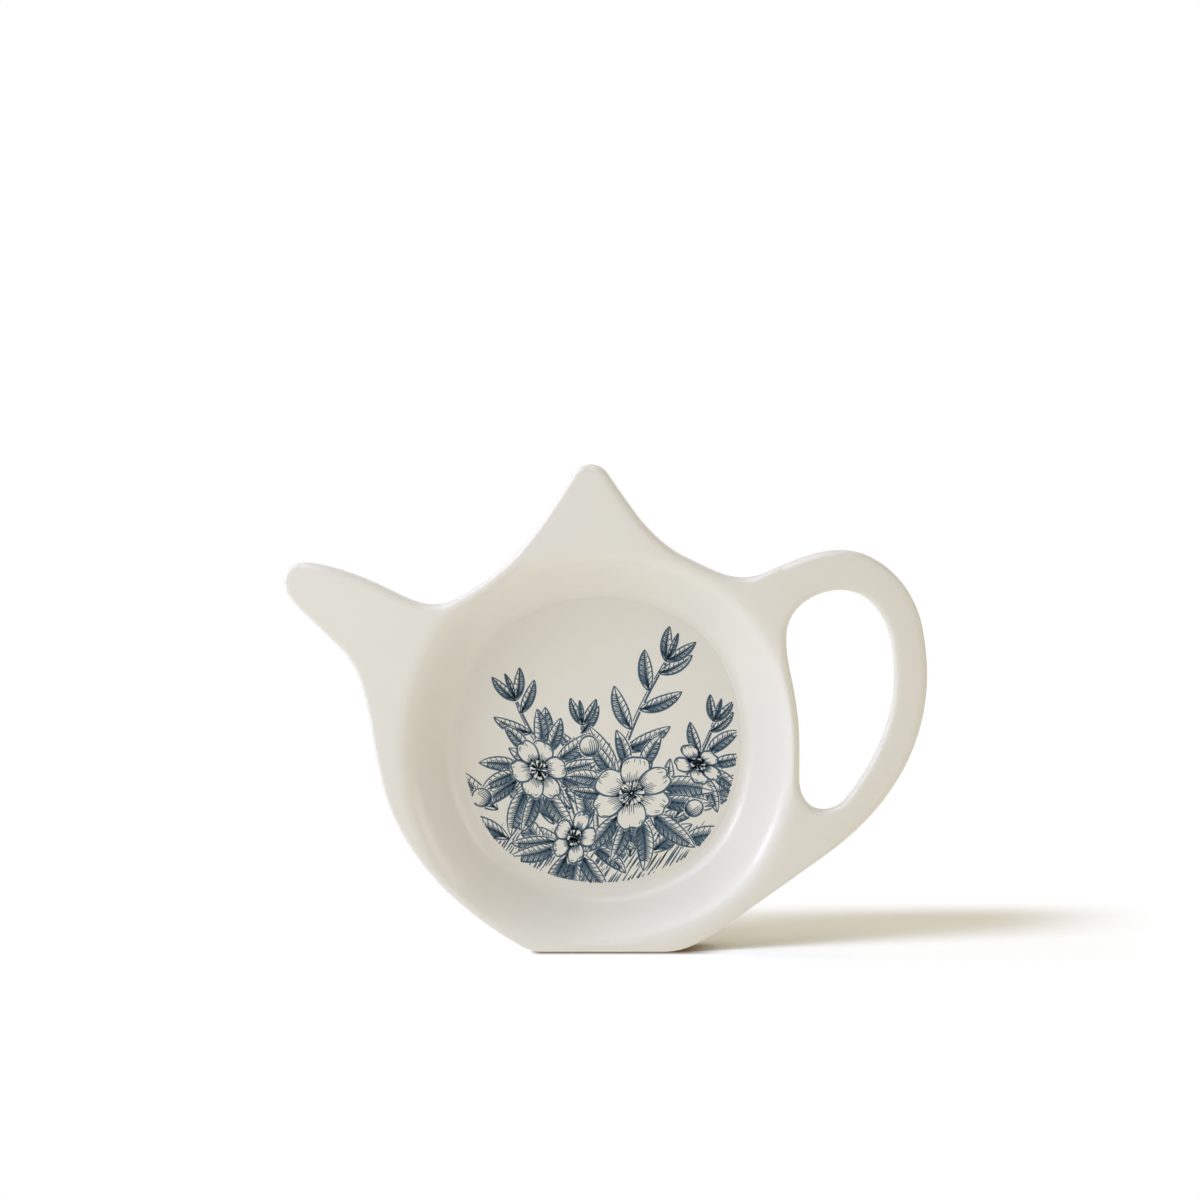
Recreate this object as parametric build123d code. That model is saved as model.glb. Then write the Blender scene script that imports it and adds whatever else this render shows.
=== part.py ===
from build123d import *
import os
from math import asin, atan2, cos, degrees, hypot, pi, radians, sin, tan

# Tea bag rest in the shape of a teapot: one melamine moulding with a printed foil in its well.
# Millimetres and degrees. X runs from spout to handle, Z is up, and the well opens towards -Y.
# The origin lies on the base face, under the axis of the well and halfway through the base's depth.

# Well: a shallow bowl with a rounded-square outline, whose axis runs along Y
well_half_width = 51.0        # where the rim's rounding starts on the front face
well_tallness = 1.031         # half height, as a share of the half width
well_squareness = 0.784       # corner rounding, as a share of the half width
well_fullness = 0.051         # swell of the sides past square corners of that rounding, the same
well_floor_half_width = 36.0  # flat floor, up to its rounding
well_depth = 12.4
rim_round = 5.9
floor_round = 4.0
rim_crest = 0.05              # the rounding meets the front face with this much of a crest
wall = 2.7

# Printed foil, flush in a recess of the floor
foil_border = 0.3             # floor left bare round the recess
foil_clearance = 0.1
foil_thickness = 0.15

# Flange plate, which carries the spout, the lid and the handle
flange_thickness = 4.6
front_edge_round = 2.6
back_edge_round = 1.0

# Back of the bowl
back_blend = 3.0              # rounding between the bowl and the back of the flange
foot_ring_radius = 29.0
foot_ring_width = 3.0
foot_ring_height = 1.2
foot_ring_draft = 0.4         # the ring is this much wider at its root, on each side

# Base, on which the rest stands upright
base_gap = 0.4                # from the body circle down to the base
base_left = 15.0              # ends of the flat, from the axis
base_right = 16.0
base_depth = 13.0
skirt_width = 44.0            # the foot behind the base, a tongue up the back of the bowl
skirt_height = 15.0
skirt_corner = 12.0

# Lid: lean is degrees from straight up, out is the distance outside the body circle
finial_rise = 21.4
finial_shift = -2.3           # off the axis, towards the spout
finial_tip_radius = 5.0
finial_left_slope = 60.3
finial_right_slope = 56.9
left_shoulder_lean = 36.6
left_shoulder_out = 0.6
left_shoulder_slope = 33.4
left_valley_lean = 48.1
left_valley_out = 4.4
right_valley_lean = 39.3
right_valley_out = 5.65
lid_lean = 28.2
lid_out = 2.45
lid_slope = 27.3
right_shoulder_lean = 18.5
right_shoulder_out = 3.3
right_shoulder_slope = 37.4

# Spout: reach is measured outside the body circle, rise above the axis of the well
spout_reach = 27.8
spout_tip_rise = 43.6
spout_crest_back = 6.4
spout_crest_lift = 4.0
spout_crest_slope = 8.1
spout_neck_back = 26.2
spout_neck_drop = 2.75
spout_neck_slope = 26.8
spout_chin_back = 4.2
spout_chin_drop = 7.7
spout_under_slope = 43.9
spout_under_length = 12.0
waist_out = 6.2
waist_rise = 5.4
waist_slope = 82.1
hip_angle = 23.3              # degrees below the axis, on the spout's side
hip_out = 2.95
hip_slope = 60.8
heel_lean = 27.7              # degrees from straight down
heel_out = 2.05
heel_slope = 32.9

# Handle: reach is measured outside the body circle, rise above the axis of the well
handle_root_slope = 35.9
handle_root_out = 3.8
handle_root_length = 33.0
handle_reach = 30.9
handle_side_rise = 18.25
handle_shoulder_back = 7.5
handle_shoulder_rise = 43.6
handle_shoulder_slope = 48.4
handle_top_back = 21.9
handle_top_rise = 50.75
handle_fall_back = 35.0
handle_fall_rise = 47.55
handle_fall_slope = 21.8

# Finger loop in the handle: the bands are what is left of the handle round it
loop_side_band = 8.1
loop_top_band = 9.9
loop_root_band = 11.8
loop_shoulder_band = 8.9
loop_shoulder_slope = 44.4
loop_corner_angle = 31.9      # degrees above the axis, on the handle's side
loop_corner_out = 3.8
loop_waist_angle = 11.7
loop_waist_out = -0.6
loop_waist_slope = 82.1
loop_heel_angle = 9.1
loop_heel_out = -0.3
loop_bottom_out = 5.0
loop_low_angle = 5.8
loop_low_out = 15.3
loop_low_slope = 57.9

# Limits and tolerances
rounding_share = 0.8          # the most of its wall or bend that a rounding may take
straight_turn = 1e-4          # radians under which an arc is drawn as a line
plane_tolerance = 0.01

body_radius = well_half_width
axis_height = body_radius + base_gap
front_y = -base_depth / 2
back_y = front_y + flange_thickness
front_plane = Plane(origin=(0, front_y, 0), x_dir=(1, 0, 0), z_dir=(0, -1, 0))
rim_plane = Plane(origin=(0, front_y, axis_height), x_dir=(1, 0, 0), z_dir=(0, -1, 0))
section_plane = Plane(origin=(0, front_y, axis_height), x_dir=(1, 0, 0), z_dir=(0, 0, 1))
well_axis = Axis((0, front_y, axis_height), (0, 1, 0))
foil_half_width = well_floor_half_width - foil_border - foil_clearance
plate_back_round = min(back_edge_round, rounding_share * flange_thickness / 3)
to_front = Vector(0, -1)
to_back = Vector(0, 1)


def around(angle, out):
    """Point of the outline at an angle about the well's axis, a distance outside the body circle."""
    radius = body_radius + out
    return radius * cos(radians(angle)), axis_height + radius * sin(radians(angle))


def step(point, heading, distance):
    """Point at a distance from another, along a heading."""
    return point[0] + distance * cos(radians(heading)), point[1] + distance * sin(radians(heading))


def handle_root():
    """Where the straight underside of the handle leaves the body."""
    return around(handle_root_slope - 90, handle_root_out)


def handle_points():
    """The handle's outermost, shoulder and top points."""
    side_x = body_radius + handle_reach
    side = (side_x, axis_height + handle_side_rise)
    shoulder = (side_x - handle_shoulder_back, axis_height + handle_shoulder_rise)
    top = (side_x - handle_top_back, axis_height + handle_top_rise)
    return side, shoulder, top


def lid_stations():
    """Left half of the lid, from the finial down to the valley beside the spout."""
    finial_top = axis_height + body_radius + finial_rise
    tip_centre = (finial_shift, finial_top - finial_tip_radius)
    return [
        (step(tip_centre, 90 - finial_right_slope, finial_tip_radius), 180 - finial_right_slope),
        (step(tip_centre, 90 + finial_left_slope, finial_tip_radius), 180 + finial_left_slope),
        (around(90 + left_shoulder_lean, left_shoulder_out), 180 + left_shoulder_slope),
        (around(90 + left_valley_lean, left_valley_out), 180),
    ]


def spout_stations():
    """Spout and left side, from the neck round the tip and down to the heel."""
    tip = (-(body_radius + spout_reach), axis_height + spout_tip_rise)
    neck = (tip[0] + spout_neck_back, tip[1] - spout_neck_drop)
    crest = (tip[0] + spout_crest_back, tip[1] + spout_crest_lift)
    chin = (tip[0] + spout_chin_back, tip[1] - spout_chin_drop)
    waist = (-(body_radius + waist_out), axis_height + waist_rise)
    return [
        (neck, 180 - spout_neck_slope),
        (crest, 180 - spout_crest_slope),
        (tip, 270),
        (chin, -spout_under_slope),
        (step(chin, -spout_under_slope, spout_under_length), -spout_under_slope),
        (waist, -waist_slope),
        (around(180 + hip_angle, hip_out), -hip_slope),
        (around(270 - heel_lean, heel_out), -heel_slope),
    ]


def handle_stations():
    """Base, handle and right half of the lid, back to the finial."""
    root = handle_root()
    side, shoulder, top = handle_points()
    fall = (side[0] - handle_fall_back, axis_height + handle_fall_rise)
    return [
        ((-base_left, 0), 0),
        ((base_right, 0), 0),
        (root, handle_root_slope),
        (step(root, handle_root_slope, handle_root_length), handle_root_slope),
        (side, 90),
        (shoulder, 180 - handle_shoulder_slope),
        (top, 180),
        (fall, 180 + handle_fall_slope),
        (around(90 - right_valley_lean, right_valley_out), 180),
        (around(90 - lid_lean, lid_out), 180 - lid_slope),
        (around(90 - right_shoulder_lean, right_shoulder_out), 180 - right_shoulder_slope),
    ]


def loop_stations():
    """Finger loop, anticlockwise from its top."""
    root = handle_root()
    side, shoulder, top = handle_points()
    bottom_x = body_radius + loop_bottom_out
    underside = root[1] + (bottom_x - root[0]) * tan(radians(handle_root_slope))
    inwards = 270 - handle_shoulder_slope
    return [
        ((top[0], top[1] - loop_top_band), 180),
        (around(loop_corner_angle, loop_corner_out), -90),
        (around(loop_waist_angle, loop_waist_out), -loop_waist_slope),
        (around(-loop_heel_angle, loop_heel_out), -90),
        ((bottom_x, underside + loop_root_band), 0),
        (around(-loop_low_angle, loop_low_out), loop_low_slope),
        ((side[0] - loop_side_band, side[1]), 90),
        (step(shoulder, inwards, loop_shoulder_band), 180 - loop_shoulder_slope),
    ]


def turn_between(heading, chord):
    """Signed turn of an arc that leaves at a heading and ends at the chord's far end, in radians."""
    return 2 * ((chord - radians(heading) + pi) % (2 * pi) - pi)


def arc_piece(start, heading, end):
    """Arc that leaves the start at a heading and passes through the end, or a line if it is straight.

    Gives the edge, its signed radius and the heading at its end.
    """
    chord = atan2(end[1] - start[1], end[0] - start[0])
    turn = turn_between(heading, chord)
    if abs(turn) < straight_turn:
        return Line(start, end), float("inf"), heading
    radius = hypot(end[0] - start[0], end[1] - start[1]) / (2 * sin(turn / 2))
    tangent = (cos(radians(heading)), sin(radians(heading)))
    return TangentArc(start, end, tangent=tangent), radius, heading + degrees(turn)


def joint_between(start, start_heading, end, end_heading):
    """Point where the two arcs between two stations meet."""
    leave = (cos(radians(start_heading)), sin(radians(start_heading)))
    arrive = (cos(radians(end_heading)), sin(radians(end_heading)))
    gap = (end[0] - start[0], end[1] - start[1])
    along = gap[0] * (leave[0] + arrive[0]) + gap[1] * (leave[1] + arrive[1])
    square = gap[0] ** 2 + gap[1] ** 2
    spread = 2 * (1 - leave[0] * arrive[0] - leave[1] * arrive[1])
    if spread < straight_turn ** 2:
        reach = square / (2 * along)
    else:
        reach = (-along + (along ** 2 + spread * square) ** 0.5) / spread
    x = (start[0] + end[0] + reach * (leave[0] - arrive[0])) / 2
    z = (start[1] + end[1] + reach * (leave[1] - arrive[1])) / 2
    return x, z


def smooth_outline(stations):
    """Closed chain of tangent arcs through the stations, and its tightest outward bend."""
    edges = []
    tightest = float("inf")
    for index, (start, start_heading) in enumerate(stations):
        end, end_heading = stations[(index + 1) % len(stations)]
        joint = joint_between(start, start_heading, end, end_heading)
        first, first_radius, heading = arc_piece(start, start_heading, joint)
        second, second_radius, _ = arc_piece(joint, heading, end)
        edges += [first, second]
        for radius in (first_radius, second_radius):
            if radius > 0:
                tightest = min(tightest, radius)
    return edges, tightest


def edges_at(solid, y):
    """Edges of a solid that lie in the plane at y."""
    return solid.edges().filter_by_position(Axis.Y, y - plane_tolerance, y + plane_tolerance)


def flange_plate(outline, loop, edge_round):
    """Flat plate of the whole silhouette, with the finger loop and rounded edges."""
    plate = extrude(outline, amount=-flange_thickness) - extrude(loop, amount=-flange_thickness)
    plate = fillet(edges_at(plate, front_y), edge_round)
    return fillet(edges_at(plate, back_y), plate_back_round)


def base_skirt(outline, edge_round):
    """Foot behind the base, which follows the outline's lower corners."""
    middle = (base_right - base_left) / 2
    corner = min(skirt_corner, rounding_share * skirt_width / 2, rounding_share * skirt_height)
    window = front_plane * Pos(middle, 0) * RectangleRounded(skirt_width, 2 * skirt_height, corner)
    # the skirt starts inside the plate, between its front and back roundings
    start = (edge_round + flange_thickness - plate_back_round) / 2
    skirt = extrude(Pos(0, start, 0) * (outline & window), amount=start - base_depth)
    return fillet(edges_at(skirt, front_y + base_depth), back_edge_round)


def well_outline(inset):
    """Rim of the well, or a line inside it: eight tangent arcs, anticlockwise from the right-hand end."""
    half_height = well_tallness * well_half_width
    corner_round = well_squareness * well_half_width
    bulge = well_fullness * well_half_width
    across = well_half_width - corner_round - bulge
    up = half_height - corner_round - bulge
    side_round = corner_round + bulge / 2 + up ** 2 / (2 * bulge)
    top_round = corner_round + bulge / 2 + across ** 2 / (2 * bulge)
    side_x = well_half_width - side_round
    top_z = half_height - top_round
    side_turn = degrees(atan2(up, across - side_x))
    top_turn = degrees(atan2(across, up - top_z))
    arcs = [
        (side_x, 0, side_round, 0, side_turn),
        (across, up, corner_round, side_turn, 90 - top_turn),
        (0, top_z, top_round, 90 - top_turn, 90 + top_turn),
        (-across, up, corner_round, 90 + top_turn, 180 - side_turn),
        (-side_x, 0, side_round, 180 - side_turn, 180 + side_turn),
        (-across, -up, corner_round, 180 + side_turn, 270 - top_turn),
        (0, -top_z, top_round, 270 - top_turn, 270 + top_turn),
        (across, -up, corner_round, 270 + top_turn, 360 - side_turn),
        (side_x, 0, side_round, 360 - side_turn, 360),
    ]
    return [rim_plane * CenterArc((x, z), r - inset, start, end - start) for x, z, r, start, end in arcs]


def well_shape():
    """Roundings and wall of the well's section, as distance from the axis and depth."""
    spread = well_half_width - well_floor_half_width
    room = (spread ** 2 + well_depth ** 2) / (2 * well_depth)
    rim_radius = min(rim_round, rounding_share * room / 2)
    floor_radius = min(floor_round, rounding_share * room / 2)
    rim_centre = Vector(well_half_width, rim_radius - rim_crest)
    floor_centre = Vector(well_floor_half_width, well_depth - floor_radius)
    fall = floor_centre.Y - rim_centre.Y
    wall_angle = atan2(fall, spread) + asin((rim_radius + floor_radius) / hypot(spread, fall))
    outwards = Vector(sin(wall_angle), cos(wall_angle))
    return rim_centre, rim_radius, floor_centre, floor_radius, outwards


def arc_about(centre, radius, start_way, end_way):
    """Arc about a centre between two directions."""
    middle_way = (start_way + end_way).normalized()
    return ThreePointArc(centre + start_way * radius, centre + middle_way * radius, centre + end_way * radius)


def dished_solid(profile):
    """Solid whose side follows a profile, from its front to its back, all round the well's outline."""
    front = profile[0] @ 0
    back = profile[-1] @ 1
    inner = well_floor_half_width - floor_round
    lap = floor_round / 2
    section = [Line((inner, front.Y), front)] + profile
    section += [Line(back, (inner, back.Y)), Line((inner, back.Y), (inner, front.Y))]
    ring = sweep(section_plane * make_face(section), path=Wire(well_outline(0)))
    middle = Pos(0, front.Y, 0) * make_face(well_outline(well_half_width - inner - lap))
    return ring + extrude(middle, amount=front.Y - back.Y)


def well_cavity():
    """Solid of the space inside the well, standing proud of the front face."""
    rim_centre, rim_radius, floor_centre, floor_radius, outwards = well_shape()
    rim = arc_about(rim_centre, rim_radius, to_front, -outwards)
    floor = arc_about(floor_centre, floor_radius, outwards, to_back)
    lip = Line((well_half_width, -flange_thickness), rim @ 0)
    return dished_solid([lip, rim, Line(rim @ 1, floor @ 0), floor])


def bowl_back():
    """Solid of the bowl's outside, from within the flange plate to the back."""
    _, _, floor_centre, floor_radius, outwards = well_shape()
    floor = arc_about(floor_centre, floor_radius + wall, outwards, to_back)
    # the blend's centre, from the wall's line and the back of the flange
    wall_point = floor @ 0
    blend_depth = flange_thickness + back_blend - rim_crest
    blend_reach = (back_blend - outwards.Y * (blend_depth - wall_point.Y)) / outwards.X
    blend_centre = Vector(wall_point.X + blend_reach, blend_depth)
    blend = arc_about(blend_centre, back_blend, to_front, -outwards)
    root = Line((blend_centre.X, flange_thickness / 2), blend @ 0)
    return dished_solid([root, blend, Line(blend @ 1, wall_point), floor])


def foot_ring():
    """Low ring on the back, on which the rest lies in use."""
    back = well_depth + wall
    outer = foot_ring_radius + foot_ring_width / 2
    inner = foot_ring_radius - foot_ring_width / 2
    section = Polyline(
        (outer + foot_ring_draft, back),
        (outer, back + foot_ring_height),
        (inner, back + foot_ring_height),
        (inner - foot_ring_draft, back),
        (foot_ring_radius, back - wall / 2),
        close=True,
    )
    return revolve(section_plane * make_face(section), axis=well_axis)


def foil_disc(half_width):
    """Disc of the foil's thickness, its front level with the well floor."""
    face = make_face(well_outline(well_half_width - half_width))
    return extrude(Pos(0, well_depth, 0) * face, amount=-foil_thickness)


def dish_moulding():
    """The whole moulding: plate, bowl and base foot, less the well and the foil's recess."""
    outer_edges, tightest = smooth_outline(lid_stations() + spout_stations() + handle_stations())
    loop_edges, _ = smooth_outline(loop_stations())
    outline = front_plane * make_face(outer_edges)
    loop = front_plane * make_face(loop_edges)
    thinnest_band = min(loop_side_band, loop_top_band, loop_shoulder_band)
    room = min(tightest, thinnest_band / 2, flange_thickness - plate_back_round)
    edge_round = min(front_edge_round, rounding_share * room)
    full_depth = well_depth + wall + foot_ring_height
    inside = extrude(outline, amount=-full_depth) - extrude(loop, amount=-full_depth)
    bowl = bowl_back() & inside
    body = flange_plate(outline, loop, edge_round) + bowl + foot_ring() + base_skirt(outline, edge_round)
    return body - well_cavity() - foil_disc(foil_half_width + foil_clearance)


def decor_foil():
    """The printed foil in its recess."""
    return foil_disc(foil_half_width)


os.makedirs("parts", exist_ok=True)
export_step(dish_moulding(), "parts/dish_moulding.step")
export_step(decor_foil(), "parts/decor_foil.step")
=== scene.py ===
from math import atan2, cos, pi, radians, sin
from random import Random

import bmesh
import bpy
import numpy as np
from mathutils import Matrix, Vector


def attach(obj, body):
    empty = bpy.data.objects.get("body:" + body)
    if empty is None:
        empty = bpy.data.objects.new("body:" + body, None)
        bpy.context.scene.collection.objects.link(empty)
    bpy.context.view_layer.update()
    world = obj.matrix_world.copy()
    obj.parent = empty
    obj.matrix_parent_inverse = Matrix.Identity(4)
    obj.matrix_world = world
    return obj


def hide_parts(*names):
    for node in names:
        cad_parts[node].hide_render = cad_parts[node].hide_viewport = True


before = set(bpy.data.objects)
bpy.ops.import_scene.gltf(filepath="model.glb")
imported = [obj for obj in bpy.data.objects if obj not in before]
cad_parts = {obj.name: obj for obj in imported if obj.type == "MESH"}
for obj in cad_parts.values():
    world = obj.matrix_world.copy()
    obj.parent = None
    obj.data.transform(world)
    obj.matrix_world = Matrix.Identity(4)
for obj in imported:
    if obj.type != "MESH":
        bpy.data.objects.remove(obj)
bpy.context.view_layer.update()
noiseMiddle = 0.5       # what a noise texture is on the whole
millimetres = 1000      # to the metre
print("frame loaded:", sorted(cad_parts))


# shader maths: a socket that adds, subtracts and multiplies
class Val:
    def __init__(self, tree, socket):
        self.tree = tree
        self.socket = socket

    def __add__(self, other):
        return self.tree.math("ADD", self, other)

    def __sub__(self, other):
        return self.tree.math("SUBTRACT", self, other)

    def __rsub__(self, other):
        return self.tree.math("SUBTRACT", other, self)

    def __mul__(self, other):
        return self.tree.math("MULTIPLY", self, other)

    __radd__ = __add__
    __rmul__ = __mul__


class NodeSet:
    def __init__(self, tree):
        self.tree = tree
        self.tree.nodes.clear()

    def add(self, kind, settings, sockets, out=0):
        node = self.tree.nodes.new(kind)
        for name, value in settings.items():
            setattr(node, name, value)
        for key, value in sockets.items():
            for each in value if isinstance(value, list) else [value]:
                if isinstance(each, Val):
                    self.tree.links.new(each.socket, node.inputs[key])
                else:
                    node.inputs[key].default_value = each
        return Val(self, node.outputs[out]) if node.outputs else None

    def math(self, operation, first, second):
        return self.add("ShaderNodeMath", {"operation": operation}, {0: first, 1: second})

    # two colours mixed by a share; a colour mix has its factor, colours and result at these places
    def mixColours(self, share, first, second):
        return self.add("ShaderNodeMix", {"data_type": "RGBA"}, {0: share, 6: first, 7: second}, 2)

    def noise(self, place, scale, detail):
        return self.add("ShaderNodeTexNoise", {}, {"Vector": place, "Scale": scale, "Detail": detail})


def shaderNodes(owner):
    owner.use_nodes = True
    return NodeSet(owner.node_tree)


def newPiece(name, mesh):
    piece = bpy.data.objects.new(name, mesh)
    bpy.context.scene.collection.objects.link(piece)
    return piece


# the mesh that a host's modifiers give; the host goes
def bakedMesh(host):
    graph = bpy.context.evaluated_depsgraph_get()
    mesh = bpy.data.meshes.new_from_object(host.evaluated_get(graph), depsgraph=graph)
    bpy.data.objects.remove(host)
    return mesh


# camera: a long lens that looks slightly down on the upright dish
shot = {
    "aim": (0.0, -0.0065, 0.0901),   # shows at the middle of the frame
    "frameWidth": 0.299,             # metres across the frame at the aim
    "distance": 1.2,
    "pitch": 9.5,                    # degrees below level
    "sensorWidth": 36.0,
}


def addCamera():
    camera = bpy.data.cameras.new("camera")
    camera.sensor_width = shot["sensorWidth"]
    camera.lens = camera.sensor_width * shot["distance"] / shot["frameWidth"]
    rig = newPiece("camera", camera)
    tilt = radians(shot["pitch"])
    rig.location = Vector(shot["aim"]) + shot["distance"] * Vector((0, -cos(tilt), sin(tilt)))
    rig.rotation_euler = (radians(90) - tilt, 0, 0)
    bpy.context.scene.camera = rig
    print("camera:", round(camera.lens), "mm")


# light: two wide window boxes and a small pane from the left, two boxes above and a weak fill on the right,
# in a warm room; the table has lamps of its own, which set how deep its shadow is
studio = {
    "centre": (0.0, 0.0, 0.05),      # what the lamps face
    "roomColour": (1.0, 0.915, 0.548, 1),
    "roomStrength": 0.235,
    # what it lights, degrees left of the front, degrees up, width, distance, watts, colour
    "lamps": {
        "window": ("dish", 60, 26, 0.62, 0.7, 1.27, (0.823, 0.828, 1.0)),
        "sideWindow": ("dish", 78, 22, 0.62, 0.7, 2.26, (0.62, 0.76, 1.0)),
        "pane": ("dish", 75, 14, 0.15, 0.7, 0.42, (0.919, 0.798, 1.0)),
        "overhead": ("dish", 80, 70, 0.8, 0.9, 3.6, (0.88, 0.86, 1.0)),
        "skylight": ("dish", 0, 85, 1.0, 1.0, 0.82, (0.95, 0.93, 1.0)),
        "right": ("dish", -70, 12, 0.5, 0.8, 1.05, (1.0, 0.952, 0.886)),
        "tableWindow": ("table", 60, 25, 0.6, 1.5, 10.4, (0.775, 0.82, 1.0)),
        "tableLow": ("table", 70, 15, 0.4, 1.5, 23.0, (0.692, 0.808, 1.0)),
        "tableTop": ("table", 0, 88, 1.2, 1.2, 6.9, (1.0, 0.95, 0.88)),
    },
    "clearance": 0.01,               # least height of a lamp's lower edge
}


def addStudio(lit):
    world = bpy.data.worlds.new("room")
    bpy.context.scene.world = world
    nodes = shaderNodes(world)
    path = "ShaderNodeLightPath"
    seen = nodes.add(path, {}, {}, "Is Camera Ray") + nodes.add(path, {}, {}, "Is Glossy Ray")
    shade = "ShaderNodeBackground"
    white = nodes.add(shade, {}, {"Color": (1, 1, 1, 1), "Strength": 1.0})
    room = nodes.add(shade, {}, {"Color": studio["roomColour"], "Strength": studio["roomStrength"]})
    mixed = nodes.add("ShaderNodeMixShader", {}, {0: seen, 1: room, 2: white})
    nodes.add("ShaderNodeOutputWorld", {}, {"Surface": mixed})
    receivers = {}
    for group, pieces in lit.items():
        receivers[group] = bpy.data.collections.new(group + "Lit")
        for piece in pieces:
            receivers[group].objects.link(piece)
    centre = Vector(studio["centre"])
    for name, (group, left, up, width, distance, watts, colour) in studio["lamps"].items():
        lamp = bpy.data.lights.new(name, "AREA")
        lamp.shape = "SQUARE"
        lamp.size = width
        lamp.energy = watts
        lamp.color = colour
        box = newPiece(name, lamp)
        flat = cos(radians(up))
        way = Vector((-flat * sin(radians(left)), -flat * cos(radians(left)), sin(radians(up))))
        box.location = centre + distance * way
        box.location.z = max(box.location.z, width / 2 + studio["clearance"])
        box.rotation_euler = (box.location - centre).to_track_quat("Z", "Y").to_euler()
        box.light_linking.receiver_collection = receivers[group]
    print("lamps:", list(studio["lamps"]))


# floor: a lit white table that keeps the shadow and runs out into plain white around it, with a painted
# contact shadow along the base's front edge
floorLook = {
    "size": 3.0,
    "colour": (0.86, 0.86, 0.86, 1),
    "glowColour": (1.0, 0.794, 0.492, 1),  # painted glow: light the table gives off itself, in place of light a lit table throws up at the dish
    "glow": 0.1975,
    "seenColour": (1.12, 1.12, 1.15, 1),   # what the camera sees: the lit table is just white
    "contactTint": (0.22, 0.14, 0.08),     # painted contact shadow: share of the seen colour left in a thin dark line along the base's front edge
    # metres from the middle: where that painted shadow is full and where it is gone
    "contactLeft": (0.0150, 0.0185),
    "contactRight": (0.0190, 0.0340),
    "contactFront": (0.0064, 0.0102),
    "contactBack": (0.0000, 0.0050),
    # metres from the middle: where plain white begins and where it is full
    "shadowLeft": (0.018, 0.027),
    "shadowRight": (0.098, 0.148),
    "shadowBack": (0.031, 0.051),
    "shadowFront": (0.011, 0.020),
}


def addFloor():
    half = floorLook["size"] / 2
    corners = [(-half, -half, 0), (half, -half, 0), (half, half, 0), (-half, half, 0)]
    mesh = bpy.data.meshes.new("floor")
    mesh.from_pydata(corners, [], [(0, 1, 2, 3)])
    floor = newPiece("floor", mesh)
    paper = bpy.data.materials.new("paper")
    nodes = shaderNodes(paper)
    place = nodes.add("ShaderNodeTexCoord", {}, {}, "Object")
    right = nodes.add("ShaderNodeSeparateXYZ", {}, {"Vector": place}, "X")
    back = nodes.add("ShaderNodeSeparateXYZ", {}, {"Vector": place}, "Y")
    sides = {"Back": back, "Front": 0 - back, "Right": right, "Left": 0 - right}

    def patch(name):
        cover = 1
        for side, far in sides.items():
            begin, gone = floorLook[name + side]
            fade = {"Value": far, "From Min": begin, "From Max": gone, "To Min": 1.0, "To Max": 0.0}
            cover = cover * nodes.add("ShaderNodeMapRange", {"interpolation_type": "SMOOTHSTEP"}, fade)
        return cover

    matte = nodes.add("ShaderNodeBsdfDiffuse", {}, {"Color": floorLook["colour"]})
    # painted glow: the table emits light of its own for rays other than the camera's, standing in for bounced
    # light
    glowing = {"Color": floorLook["glowColour"], "Strength": floorLook["glow"]}
    glow = nodes.add("ShaderNodeEmission", {}, glowing)
    lit = nodes.add("ShaderNodeAddShader", {}, {0: matte, 1: glow})
    # painted contact shadow: the seen colour is darkened in a thin band along the base's front edge
    dark = [seen * tint for seen, tint in zip(floorLook["seenColour"], floorLook["contactTint"])] + [1]
    shaded = nodes.mixColours(patch("contact"), floorLook["seenColour"], tuple(dark))
    bright = nodes.add("ShaderNodeBsdfDiffuse", {}, {"Color": shaded})
    white = nodes.add("ShaderNodeEmission", {}, {"Color": (1, 1, 1, 1), "Strength": 1.0})
    seenPaper = nodes.add("ShaderNodeMixShader", {}, {0: patch("shadow"), 1: white, 2: bright})
    camera = nodes.add("ShaderNodeLightPath", {}, {}, "Is Camera Ray")
    mixed = nodes.add("ShaderNodeMixShader", {}, {0: camera, 1: lit, 2: seenPaper})
    nodes.add("ShaderNodeOutputMaterial", {}, {"Surface": mixed})
    mesh.materials.append(paper)
    print("floor:", floorLook["size"], "m")
    return floor


# moulded melamine: off-white, glossy, with the faint unevenness of a pressed surface
melamineLook = {
    "paleColour": (0.824, 0.809, 0.756, 1),
    "warmColour": (0.794, 0.777, 0.716, 1),
    "clouding": 28.0,        # clouds to the metre
    "cloudDetail": 4.0,
    "roughness": 0.22,
    "roughnessSpread": 0.07,
    "smears": 112.0,         # patches of other roughness to the metre
    "smearDetail": 6.0,
    "ripple": 420.0,         # ripples to the metre
    "rippleDetail": 2.0,
    "rippleDepth": 0.00004,
}


def melamineMaterial(name, look):
    material = bpy.data.materials.new(name)
    nodes = shaderNodes(material)
    place = nodes.add("ShaderNodeTexCoord", {}, {}, "Object")
    clouds = nodes.noise(place, look["clouding"], look["cloudDetail"])
    smears = nodes.noise(place, look["smears"], look["smearDetail"])
    ripples = nodes.noise(place, look["ripple"], look["rippleDetail"])
    pressed = {"Strength": 1.0, "Distance": look["rippleDepth"], "Height": ripples}
    body = nodes.add("ShaderNodeBsdfPrincipled", {}, {
        "Base Color": nodes.mixColours(clouds, look["paleColour"], look["warmColour"]),
        "Roughness": look["roughness"] + (smears - noiseMiddle) * look["roughnessSpread"],
        "Normal": nodes.add("ShaderNodeBump", {}, pressed),
    })
    nodes.add("ShaderNodeOutputMaterial", {}, {"Surface": body})
    return material


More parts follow.
